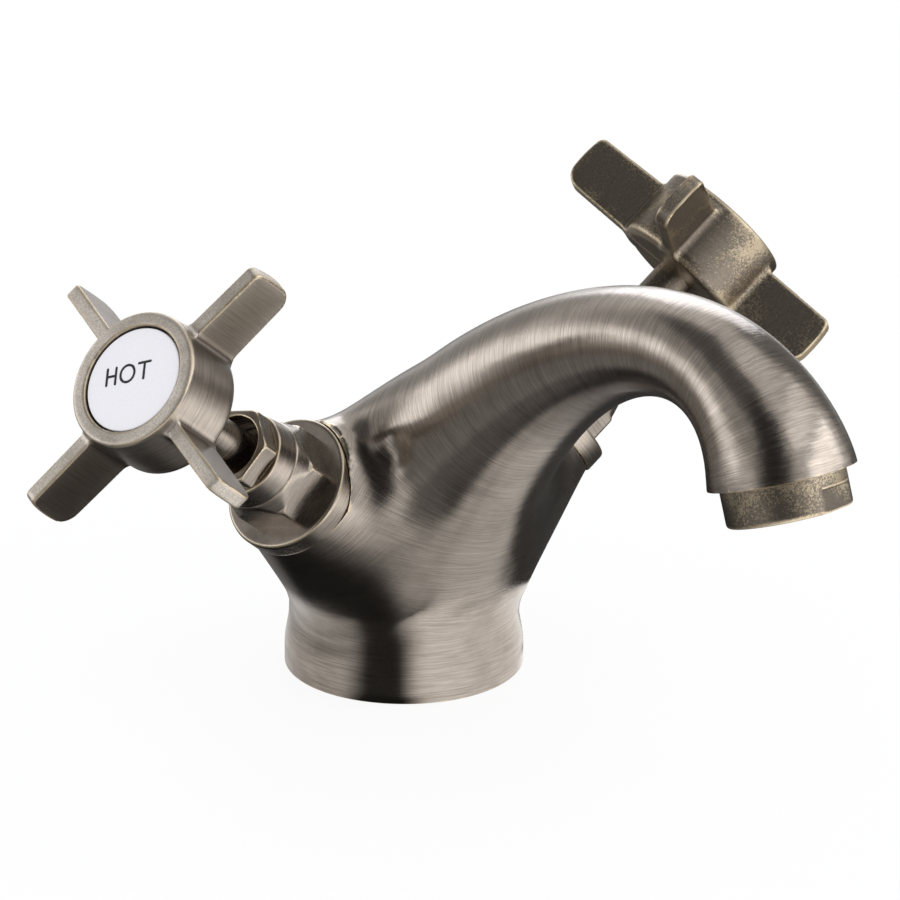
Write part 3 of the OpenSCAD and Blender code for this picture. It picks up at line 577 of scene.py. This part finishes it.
class Finish:
    """A material with a short way to write its shader nodes."""

    def __init__(self, name):
        self.material = bpy.data.materials.new(name)
        self.material.use_nodes = True
        self.tree = self.material.node_tree
        self.tree.nodes.clear()
        self.out = self.tree.nodes.new("ShaderNodeOutputMaterial")
        self.shader = self.tree.nodes.new("ShaderNodeBsdfPrincipled")
        self.tree.links.new(self.shader.outputs[0], self.out.inputs[0])

    def put(self, socket, value):
        """Links another socket or sets a plain value."""
        if isinstance(value, bpy.types.NodeSocket):
            self.tree.links.new(value, socket)
        elif value is not None:
            socket.default_value = value

    def attribute(self, name, output="Fac"):
        """A number or vector stored in the mesh."""
        node = self.tree.nodes.new("ShaderNodeAttribute")
        node.attribute_name = name
        return node.outputs[output]

    def math(self, operation, a, b=None, c=None, clamp=False):
        node = self.tree.nodes.new("ShaderNodeMath")
        node.operation = operation
        node.use_clamp = clamp
        for i, x in enumerate((a, b, c)):
            self.put(node.inputs[i], x)
        return node.outputs[0]

    def add(self, a, b):
        return self.math("ADD", a, b)

    def less(self, a, b):
        return self.math("SUBTRACT", a, b)

    def times(self, a, b):
        return self.math("MULTIPLY", a, b)

    def swing(self, value, size):
        """(value - 1/2) times size."""
        return self.times(self.less(value, 0.5), size)

    def scaled(self, vector, scale, offset=(0, 0, 0)):
        """vector times scale plus offset, each axis on its own."""
        node = self.tree.nodes.new("ShaderNodeVectorMath")
        node.operation = "MULTIPLY_ADD"
        self.put(node.inputs[0], vector)
        node.inputs[1].default_value = scale
        node.inputs[2].default_value = offset
        return node.outputs[0]

    def in_mm(self):
        """Object coordinates in millimetres."""
        coords = self.tree.nodes.new("ShaderNodeTexCoord").outputs["Object"]
        return self.scaled(coords, (1 / MM, 1 / MM, 1 / MM))

    def noise(self, vector, scale, detail, rough):
        node = self.tree.nodes.new("ShaderNodeTexNoise")
        self.put(node.inputs["Vector"], vector)
        node.inputs["Scale"].default_value = scale
        node.inputs["Detail"].default_value = detail
        node.inputs["Roughness"].default_value = rough
        return node.outputs["Fac"]

    def ramp(self, value, low, high, to_low=0.0, to_high=1.0):
        """A soft step between two values."""
        node = self.tree.nodes.new("ShaderNodeMapRange")
        node.interpolation_type = "SMOOTHSTEP"
        for i, x in enumerate((value, low, high, to_low, to_high)):
            self.put(node.inputs[i], x)
        return node.outputs[0]

    def mix(self, share, a, b):
        node = self.tree.nodes.new("ShaderNodeMix")
        node.data_type = "RGBA"
        self.put(node.inputs[0], share)
        self.put(node.inputs[6], a if isinstance(a, bpy.types.NodeSocket) else (*a, 1))
        self.put(node.inputs[7], b if isinstance(b, bpy.types.NodeSocket) else (*b, 1))
        return node.outputs[2]

    def shades(self, share, color, dark, light):
        """From a darker to a lighter shade of one colour."""
        return self.mix(share, tuple(c * dark for c in color), tuple(c * light for c in color))

    def bump(self, height, strength, distance):
        node = self.tree.nodes.new("ShaderNodeBump")
        node.inputs["Strength"].default_value = strength
        node.inputs["Distance"].default_value = distance
        self.put(node.inputs["Height"], height)
        return node.outputs[0]

    def grain(self):
        """The stored direction of the brush marks, turned with the object."""
        node = self.tree.nodes.new("ShaderNodeVectorTransform")
        node.vector_type = "VECTOR"
        node.convert_from, node.convert_to = "OBJECT", "WORLD"
        self.put(node.inputs[0], self.attribute("grain", "Vector"))
        return node.outputs[0]


BRONZE = (0.356, 0.315, 0.276)
GOLDEN = (0.44, 0.365, 0.255)
BLASTED_AND_LIT = (0.80, 0.74, 0.67)
TARNISH = (0.13, 0.11, 0.088)
PATINA = (0.07, 0.056, 0.042)


def bronze(name, fine, broad, patina, rough, wear_and_glint=0.8, gold=0.0, streak=1.0, tarnish=0.0, two_lays=False):
    """Brushed antique bronze: brush marks in two widths, dark patina patches, golden specks, tarnished broad
    faces and lighter golden edges, which are real wear and also a painted highlight along each edge. Where a
    piece is painted, its matt places are speckled instead of brushed, and their colour is lifted far above
    the bronze: a blasted finish and also painted light.
    With two lays the marks follow the spout, and the arms' own direction where the arms take over."""
    n = Finish(name)

    def marks(vector):
        thin = n.noise(n.scaled(vector, (0.11, 0.11, fine)), 1.0, 4, 0.66)
        wide = n.noise(n.scaled(vector, (0.06, 0.06, broad), (7, 3, 1)), 1.0, 2, 0.5)
        return thin, wide

    thin, wide = marks(n.attribute("lay", "Vector"))
    if two_lays:
        share = n.attribute("arm_share")
        arm_thin, arm_wide = marks(n.attribute("arm_lay", "Vector"))
        thin = n.math("MULTIPLY_ADD", n.less(arm_thin, thin), share, thin)
        wide = n.math("MULTIPLY_ADD", n.less(arm_wide, wide), share, wide)
    coords = n.in_mm()
    cloud = n.noise(coords, 0.09, 3, 0.55)
    grit, coarse = n.noise(coords, 2.6, 3, 0.7), n.noise(coords, 2.2, 5, 0.8)
    matt, near_edge, bend = n.attribute("matt"), n.attribute("near_edge"), n.attribute("wear_and_glint")
    brushed = n.times(n.less(1.0, matt), streak)
    streaks = n.add(n.swing(thin, 1.6), n.swing(wide, 0.3))
    speckles = n.times(n.swing(grit, 2.2), matt)
    tone = n.math("MULTIPLY_ADD", streaks, brushed, n.add(speckles, 0.5), clamp=True)
    color = n.shades(tone, BRONZE, 0.55, 1.42)
    # Matt places take a much lighter colour: a blasted finish, and also painted light on these faces.
    color = n.mix(n.times(matt, 0.85), color, n.shades(tone, BLASTED_AND_LIT, 0.7, 1.3))
    color = n.mix(n.times(n.ramp(cloud, 0.42, 0.72), patina), color, PATINA)
    if tarnish > 0:
        inner = n.less(1.0, n.times(near_edge, 0.6))
        dull = n.times(inner, n.times(n.attribute("dulled"), tarnish))
        color = n.mix(dull, color, n.shades(tone, TARNISH, 0.7, 1.4))
    if gold > 0:
        color = n.mix(gold, color, n.shades(n.ramp(coarse, 0.35, 0.65), TARNISH, 0.85, 1.35))
        seed = n.add(n.times(coarse, 0.7), n.times(grit, 0.3))
        seed = n.add(seed, n.times(near_edge, 0.16))
        seed = n.add(seed, n.times(n.attribute("broad"), -0.05))
        seed = n.add(seed, n.swing(cloud, 0.75))
        color = n.mix(n.times(n.ramp(seed, 0.55, 0.63), 0.85 * gold), color, GOLDEN)
    color = n.mix(n.ramp(n.times(bend, -1.0), 0.1, 0.5, 0.0, 0.55), color, PATINA)
    # Lighter golden colour where the surface turns outwards: real wear through the patina, and a painted
    # highlight along each edge.
    worn_and_glint = n.ramp(n.add(bend, n.swing(grit, 0.4)), 0.22, 0.75)
    color = n.mix(n.times(worn_and_glint, wear_and_glint), color, tuple(c * 1.25 for c in GOLDEN))
    gloss = n.add(n.add(n.times(thin, 0.10), n.times(cloud, 0.08)), n.times(matt, 0.24))
    grit_height = n.times(grit, n.math("MULTIPLY_ADD", matt, 0.7, 0.05 + 0.3 * gold))
    height = n.add(n.times(n.times(thin, brushed), 0.8), grit_height)
    n.put(n.shader.inputs["Base Color"], color)
    n.put(n.shader.inputs["Roughness"], n.add(gloss, rough - 0.08))
    n.shader.inputs["Metallic"].default_value = 1.0
    n.shader.inputs["Anisotropic"].default_value = 0.5
    n.put(n.shader.inputs["Tangent"], n.grain())
    n.put(n.shader.inputs["Normal"], n.bump(height, 0.22, 0.00012))
    return n.material


def plain(name, color, rough, metallic=0.0, mottling=0.06, coat=0.0):
    """A quiet material with a little mottling of colour and gloss."""
    n = Finish(name)
    coords = n.in_mm()
    mottle, fleck = n.noise(coords, 0.7, 4, 0.6), n.noise(coords, 0.7 * 6, 2, 0.5)
    n.put(n.shader.inputs["Base Color"], n.shades(mottle, color, 1 - mottling, 1 + mottling))
    n.put(n.shader.inputs["Roughness"], n.ramp(fleck, 0.2, 0.8, rough * 0.85, rough * 1.15))
    n.shader.inputs["Metallic"].default_value = metallic
    n.shader.inputs["Coat Weight"].default_value = coat
    n.put(n.shader.inputs["Normal"], n.bump(mottle, 0.08, 0.0001))
    return n.material


BODY_BRONZE = bronze("body_bronze", 4.2, 0.9, patina=0.25, rough=0.20, wear_and_glint=0.9, two_lays=True)
HOT_BRONZE = bronze("handle_bronze", 4.2, 1.3, patina=0.25, rough=0.30, wear_and_glint=0.85, tarnish=0.97)
COLD_BRONZE = bronze("patina_bronze", 4.5, 1.3, patina=0.3, rough=0.32, wear_and_glint=0.85, gold=0.85, streak=0.6)
NUT_BRONZE = bronze("turned_bronze", 5.5, 1.6, patina=0.35, rough=0.26, wear_and_glint=0.75)
AERATOR_BRONZE = bronze("pitted_bronze", 3.0, 1.0, patina=0.3, rough=0.34, gold=0.9, streak=0.4)
ENAMEL = plain("white_enamel", (0.88, 0.88, 0.91), 0.28, mottling=0.01, coat=0.2)
INK = plain("black_ink", (0.012, 0.012, 0.015), 0.5, mottling=0.2)
SLOTS = {
    "antique_bronze": NUT_BRONZE,
    "white_enamel": ENAMEL,
    "steel": plain("steel", (0.55, 0.55, 0.56), 0.3, metallic=1.0),
    "plain_brass": plain("plain_brass", (0.45, 0.38, 0.26), 0.35, metallic=1.0),
    "black_rubber": plain("black_rubber", (0.02, 0.02, 0.022), 0.7, mottling=0.2),
    "disc_ceramic": plain("disc_ceramic", (0.80, 0.77, 0.72), 0.25),
    "grey_plastic": plain("grey_plastic", (0.62, 0.62, 0.60), 0.5),
}

for part in frame["record"]["subparts"]:
    obj = NODES[part["node"]]
    obj.data.materials.clear()
    obj.data.materials.append(SLOTS[part["material_slot"]])

# The pieces

OUTLET_AXES = np.array([
    [1.0, 0, 0],
    [0, math.cos(OUTLET_TILT), math.sin(OUTLET_TILT)],
    [0, -math.sin(OUTLET_TILT), math.cos(OUTLET_TILT)]])
OUTLET_PLACE = np.array([0, *OUT_POINT])


def cast_body():
    """The casting less what lies below the foot and past the outlet, and less its openings. Its brush marks
    go round the spout, and round an arm where the arm's field is the nearer one."""
    points, faces = net(body_field, (-52, -144, -8), (52, 30, 116), 0.8)
    body = mesh_of("cast_body", points, faces)
    cutters = [rod(60, -20, 0), rod(24, -30, 0, OUTLET_AXES, OUTLET_PLACE)]
    cutters.append(rod(MOUTH_R, -1, MOUTH_DEEP, OUTLET_AXES, OUTLET_PLACE))
    for side in ("hot", "cold"):
        cutters.append(rod(SEAT_R, ARM_LEN - 0.02, ARM_LEN + 12, arm_axes(side), ARM_MEET))
    cutters += [rod(TAIL_R, -1, TAIL_DEEP, place=(x, TAIL_Y, 0)) for x in (-TAIL_X, TAIL_X)]
    cutters.append(rod(STUD_R, -1, STUD_DEEP, place=(0, STUD_Y, 0)))
    cutters.append(rod(GROOVE_R, -1, GROOVE_DEEP, inner=GROOVE_INNER_R))
    carve(body, cutters)
    p = points_of(body.data)
    station, reach, off = on_path(p)
    half = np.stack([-np.abs(p[:, 0]), p[:, 1], p[:, 2]], -1)
    arm_local = (half - ARM_MEET) @ arm_axes("hot")
    share = smooth(reach - np.interp(station, STATION, RADIUS) - arm_field(arm_local), -4, 9)
    ahead = np.stack([np.interp(station, STATION, AHEAD[:, i]) for i in (0, 1)], -1)
    flank = np.stack([0 * off, -ahead[:, 1], ahead[:, 0]], -1)
    ring = (-off[:, None] * np.array([1.0, 0, 0]) + p[:, :1] * flank) / np.maximum(reach, 1e-6)[:, None]
    arm_ring = around(arm_local, arm_axes("hot"))
    arm_ring[:, 0] *= np.where(p[:, 0] > 0, -1, 1)
    arm_ring *= np.sign((arm_ring * ring).sum(1))[:, None]
    grain = ring * (1 - share[:, None]) + arm_ring * share[:, None]
    grain /= np.maximum(np.linalg.norm(grain, axis=1), 1e-6)[:, None]
    give(body.data, "arm_lay", arm_local)
    give(body.data, "arm_share", share)
    lay = np.stack([p[:, 0], off, station], -1)
    finish_mesh(body, grain, lay, BODY_BRONZE, "tap", ("tap_body",))


def headwork(side):
    """Collar ring, bonnet and neck nut of one arm."""
    pitch = 0.34
    collar = net(collar_field, (-17, -17, 40), (17, 17, 49), pitch)
    on_arm(side, "collar_look", "collar_ring", collar, NUT_BRONZE)
    bonnet = net(bonnet_field, (-13, -13, 41.5), (13, 13, 64.5), pitch * 0.75)
    on_arm(side, "bonnet_look", "bonnet", bonnet, NUT_BRONZE)
    nut = net(neck_nut_field, (-11, -11, 61.5), (11, 11, 69), pitch * 0.6)
    on_arm(side, "neck_nut_look", "neck_nut", nut, NUT_BRONZE)


def handle(side):
    """Cross handle, spindle, index disc and the word on it."""
    cross = net(handle_field(TURN[side]), (-36, -36, 85.5), (36, 36, 105.5), 0.42)
    lay, *paint = handle_paint(cross[0], TURN[side])
    finish = HOT_BRONZE if side == "hot" else COLD_BRONZE
    on_arm(side, "handle_look", "handle", cross, finish, turns=True, lay=lay, paint=paint)

    wall = [(SPINDLE_R, z) for z in (SPINDLE_LOW + 0.3, 70, 80, SPINDLE_TOP)]
    stem = revolve([(0, SPINDLE_LOW), (SPINDLE_R - 0.2, SPINDLE_LOW), *wall, (0, SPINDLE_TOP)], 96)
    finish = NUT_BRONZE if side == "hot" else COLD_BRONZE
    on_arm(side, "spindle_look", "spindle", stem, finish, turns=True)

    corner_r, corner_z = DISC_R - DISC_ROUND, DISC_TOP - DISC_ROUND
    a = np.radians(np.linspace(90, 0, 7))
    rim = [(corner_r + DISC_ROUND * math.sin(x), corner_z + DISC_ROUND * math.cos(x)) for x in a]
    face = [(DISC_R * share, DISC_TOP) for share in (0.6, 0.3, 0)]
    plate = revolve([(0, DISC_FLOOR), (DISC_R, DISC_FLOOR), *rim, *face], 128)
    on_arm(side, "disc_look", "index_disc", plate, ENAMEL, turns=True)

    word = net(word_field(side), (-9, -9, DISC_TOP - 0.1), (9, 9, DISC_TOP + 0.14), 0.11)
    on_arm(side, "word", None, word, INK, turns=True)


def aerator():
    """Aerator housing at the outlet."""
    points, faces = net(aerator_field, (-14, -14, -9), (14, 14, 0.6), 0.34)
    obj = mesh_of("aerator_look", OUTLET_PLACE + points @ OUTLET_AXES.T, faces)
    grain = around(points, OUTLET_AXES)
    finish_mesh(obj, grain, points, AERATOR_BRONZE, "tap", ("aerator_housing",))


cast_body()
for side in ("hot", "cold"):
    headwork(side)
    handle(side)
aerator()

# Camera

VIEW_TURN, VIEW_RISE, VIEW_ROLL = [math.radians(angle) for angle in (-37.927, 21.446, 0.196)]
VIEW_TARGET, VIEW_DISTANCE = np.array([-3.593, -20.655, 55.538]), 1500
VIEW_LENS, VIEW_SENSOR = 283.05, 36
UP = np.array([0, 0, 1.0])
FLAT_BACK = np.array([math.sin(VIEW_TURN), -math.cos(VIEW_TURN), 0])
RIGHT = np.array([math.cos(VIEW_TURN), math.sin(VIEW_TURN), 0])
BACK = math.cos(VIEW_RISE) * FLAT_BACK + math.sin(VIEW_RISE) * UP


def camera():
    """The photo's camera: from the target back along the view, and turned about it by the roll."""
    above = np.cross(BACK, RIGHT)
    level = math.cos(VIEW_ROLL) * RIGHT + math.sin(VIEW_ROLL) * above
    top = -math.sin(VIEW_ROLL) * RIGHT + math.cos(VIEW_ROLL) * above
    obj = bpy.data.objects.new("camera", bpy.data.cameras.new("camera"))
    bpy.context.scene.collection.objects.link(obj)
    place = Matrix.Identity(4)
    for i, column in enumerate((level, top, BACK, (VIEW_TARGET + VIEW_DISTANCE * BACK) * MM)):
        for j in range(3):
            place[j][i] = column[j]
    obj.matrix_world = place
    obj.data.sensor_width = VIEW_SENSOR
    obj.data.lens = VIEW_LENS
    obj.data.clip_start, obj.data.clip_end = 0.1, 20
    bpy.context.scene.camera = obj


# Light and background


def towards(azimuth, height):
    """Unit vectors towards an azimuth from the camera, plus to the right, and a height, in degrees."""
    turn, rise = np.radians(azimuth)[..., None], np.radians(height)[..., None]
    return np.cos(rise) * (np.cos(turn) * FLAT_BACK + np.sin(turn) * RIGHT) + np.sin(rise) * UP


def lamp(name, azimuth, height, wide, tall, glow, color=(1, 1, 1)):
    """A soft box at 1 m from the tap. Its size is in metres, and glow is the light that each part sends."""
    light = bpy.data.lights.new(name, "AREA")
    light.shape = "RECTANGLE"
    light.size, light.size_y = wide, tall
    light.energy = glow * math.pi * wide * tall
    light.color = color
    obj = bpy.data.objects.new(name, light)
    bpy.context.scene.collection.objects.link(obj)
    away = towards(azimuth, height)
    facing = Vector(away).to_track_quat("Z", "Y").to_matrix().to_4x4()
    obj.matrix_world = Matrix.Translation(Vector(VIEW_TARGET * MM + away)) @ facing


def sheet(across, along, place):
    """A surface over two spans of numbers: the numbers, the place of each pair and the quads between."""
    u, v = [x.ravel() for x in np.meshgrid(across, along, indexing="ij")]
    k = np.arange(len(u)).reshape(len(across), len(along))
    faces = np.stack([k[:-1, :-1], k[1:, :-1], k[1:, 1:], k[:-1, 1:]], -1).reshape(-1, 4)
    return u, v, place(u, v), faces


def white_to_rays(tree, plain_shader, shown, share):
    """Mixes a share of an even white into what the camera, reflections and clear things see."""
    path = tree.nodes.new("ShaderNodeLightPath")
    most = path.outputs["Is Camera Ray"]
    for name in ("Is Glossy Ray", "Is Transmission Ray"):
        node = tree.nodes.new("ShaderNodeMath")
        node.operation = "MAXIMUM"
        tree.links.new(most, node.inputs[0])
        tree.links.new(path.outputs[name], node.inputs[1])
        most = node.outputs[0]
    scale = tree.nodes.new("ShaderNodeMath")
    scale.operation = "MULTIPLY"
    tree.links.new(most, scale.inputs[0])
    scale.inputs[1].default_value = share
    mix = tree.nodes.new("ShaderNodeMixShader")
    for i, socket in enumerate((scale.outputs[0], plain_shader.outputs[0], shown.outputs[0])):
        tree.links.new(socket, mix.inputs[i])
    return mix


def paper(name):
    """A material with an output only, whose light isn't sampled."""
    material = bpy.data.materials.new(name)
    material.use_nodes = True
    material.node_tree.nodes.clear()
    material.cycles.emission_sampling = "NONE"
    return material, material.node_tree, material.node_tree.nodes.new("ShaderNodeOutputMaterial")


def card_paper():
    """Sends out the stored glow where the stored cover is 1, and is clear where it is 0."""
    material, tree, out = paper("card_paper")
    light = tree.nodes.new("ShaderNodeEmission")
    light.inputs[0].default_value = (1, 0.985, 0.97, 1)
    glow, cover = [tree.nodes.new("ShaderNodeAttribute") for _ in range(2)]
    glow.attribute_name, cover.attribute_name = "glow", "cover"
    tree.links.new(glow.outputs["Fac"], light.inputs[1])
    clear = tree.nodes.new("ShaderNodeBsdfTransparent")
    mix = tree.nodes.new("ShaderNodeMixShader")
    for i, socket in enumerate((cover.outputs["Fac"], clear.outputs[0], light.outputs[0])):
        tree.links.new(socket, mix.inputs[i])
    tree.links.new(mix.outputs[0], out.inputs[0])
    return material


CARD_PAPER = card_paper()


def light_card(name, across, along, place, windows, clear=False):
    """A card that only reflections see, which paints light and shade into them: its glow changes softly,
    below 1 as painted shade and above 1 as painted light. It starts at 1, and each window leads it to the
    window's own level: (first span, second span, level, softness of each span). Only the places that differ
    from 1 are made. A clear card fades to nothing outside its windows instead."""
    u, v, points, faces = sheet(across, along, place)
    glow, open_share = np.full(len(u), windows[0][2] if clear else 1.0), np.ones(len(u))
    for (u0, u1), (v0, v1), level, du, dv in windows:
        share = smooth(u, u0 - du, u0 + du) * (1 - smooth(u, u1 - du, u1 + du))
        share = share * smooth(v, v0 - dv, v0 + dv) * (1 - smooth(v, v1 - dv, v1 + dv))
        glow = glow + (level - glow) * share
        open_share = open_share * (1 - share)
    cover = 1 - open_share if clear else np.ones(len(u))
    unseen = cover < 0.004 if clear else np.abs(glow - 1) < 0.004
    obj = mesh_of(name, points, faces[~unseen[faces].all(1)])
    obj.data.materials.append(CARD_PAPER)
    give(obj.data, "glow", glow)
    give(obj.data, "cover", cover)
    obj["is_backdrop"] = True
    obj.visible_camera = obj.visible_diffuse = obj.visible_shadow = obj.visible_transmission = False


def on_dome(azimuth, height):
    """A dome of 1.3 m round the tap."""
    return 1300 * towards(azimuth, height) + 50 * UP


def on_table(azimuth, power):
    """The table's top, at an azimuth and 10 to a power of millimetres from the tap's middle."""
    flat = towards(azimuth, 0 * azimuth)
    return (10.0 ** power)[:, None] * flat + 0.05 * UP


def on_wall(azimuth, level):
    """A round wall of 29.5 mm radius about the foot."""
    return 29.5 * towards(azimuth, 0 * azimuth) + level[:, None] * UP


def below_arch(x, y):
    """A level sheet below the arch of the spout, for the dark card that paints shade into the reflection on
    the spout's underside.
    """
    return np.stack([x, y, 0 * x + 66], -1)


def reach(mm):
    """The power that on_table takes for a distance."""
    return math.log10(mm)


# The cards' windows paint the reflections: a level below 1 is painted shade, above 1 painted light. The
# table is mostly dark within 95 mm of the tap, a painted shadow of the tap, and bright to the right, painted
# light. The wall round the foot is bright, painted light, and dark in front, painted shade.
DOME_WINDOWS = [
    ((-138, -8), (38, 74), 0.13, 10, 5),
    ((-132, -40), (20, 38), 0.5, 12, 5),
    ((-164, -136), (-9, 22), 0.45, 6, 5),
    ((-36, 18), (-9, 62), 0.02, 13, 8),
    ((122, 166), (-9, 60), 0.24, 9, 8)]
TABLE_WINDOWS = [
    ((-200, 200), (-1, reach(95)), 0.02, 5, 0.08),
    ((-170, -36), (reach(95), reach(330)), 0.27, 8, 0.08),
    ((-170, -30), (reach(330), reach(1000)), 0.65, 8, 0.08),
    ((-36, 0), (reach(60), reach(170)), 0.2, 7, 0.05),
    ((5, 22), (reach(40), reach(5000)), 0.8, 7, 0.06),
    ((22, 84), (-1, reach(100)), 0.9, 8, 0.06),
    ((22, 84), (reach(100), reach(5000)), 2.1, 8, 0.08),
    ((100, 200), (-1, reach(420)), 0.06, 16, 0.1),
    ((100, 150), (reach(420), reach(1200)), 0.08, 16, 0.1),
    ((-200, -168), (-1, reach(900)), 0.3, 5, 0.1),
    ((-176, -84), (reach(30), reach(105)), 0.22, 14, 0.07),
    ((-132, -28), (-1, reach(30)), 0.8, 8, 0.015),
    ((8, 98), (-1, reach(30)), 1.4, 8, 0.015)]
WALL_WINDOWS = [
    ((-132, 98), (-9, 8.5), 0.9, 10, 6.5),
    ((-28, 6), (-9, 99), 0.04, 9, 5),
    ((6, 300), (-9, 99), 1.4, 9, 5)]
# A dark card under the arch: painted shade in the reflection on the spout's underside.
ARCH_SHADE_WINDOWS = [((-17, 17), (-132, -62), 0.03, 9, 16)]


def studio():
    """Camera, soft boxes, cards that paint light and shade into the reflections, a pale floor and a white
    world.
    """
    camera()
    lamp("right_box", 76, 21, 1.15, 0.46, 1.85)
    lamp("upper_box", 72, 50, 1.2, 0.3, 0.72)
    lamp("left_box", -98, 8, 1.2, 0.26, 1.1)
    lamp("back_box", 176, 25, 0.6, 0.6, 2.1, (0.88, 0.91, 1.0))
    turns, heights = np.arange(-180, 181, 3.0), np.arange(-2, 91, 2.0)
    light_card("dome_card", turns, heights, on_dome, DOME_WINDOWS)
    powers = np.linspace(reach(6), reach(4000), 60)
    light_card("table_card", turns, powers, on_table, TABLE_WINDOWS)
    turns, levels = np.arange(-170, 112, 3.0), np.arange(0, 16, 1.5)
    light_card("wall_card", turns, levels, on_wall, WALL_WINDOWS, clear=True)
    xs, ys = np.linspace(-30, 30, 24), np.linspace(-150, -38, 40)
    light_card("arch_shade_card", xs, ys, below_arch, ARCH_SHADE_WINDOWS, clear=True)

    material, tree, out = paper("floor_paper")
    matt, white = tree.nodes.new("ShaderNodeBsdfDiffuse"), tree.nodes.new("ShaderNodeEmission")
    matt.inputs[0].default_value = (0.9, 0.9, 0.9, 1)
    tree.links.new(white_to_rays(tree, matt, white, 0.9).outputs[0], out.inputs[0])
    span = np.linspace(-4000, 4000, 5)
    _, _, points, faces = sheet(span, span, lambda x, y: np.stack([x, y, 0 * x - 0.3], -1))
    floor = mesh_of("floor", points, faces)
    floor.data.materials.append(material)
    floor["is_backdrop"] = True

    world = bpy.data.worlds.new("white")
    bpy.context.scene.world = world
    world.use_nodes = True
    tree = world.node_tree
    tree.nodes.clear()
    out = tree.nodes.new("ShaderNodeOutputWorld")
    seen, rest = [tree.nodes.new("ShaderNodeBackground") for _ in range(2)]
    seen.inputs[0].default_value = (1, 1, 1, 1)
    rest.inputs[0].default_value = (0.9, 0.9, 0.92, 1)
    tree.links.new(white_to_rays(tree, rest, seen, 1.0).outputs[0], out.inputs[0])
    bpy.context.scene.view_settings.view_transform = "Standard"


studio()
last_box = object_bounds()
[[[float(x) for x in corner] for corner in one] for one in (first_box, last_box)]
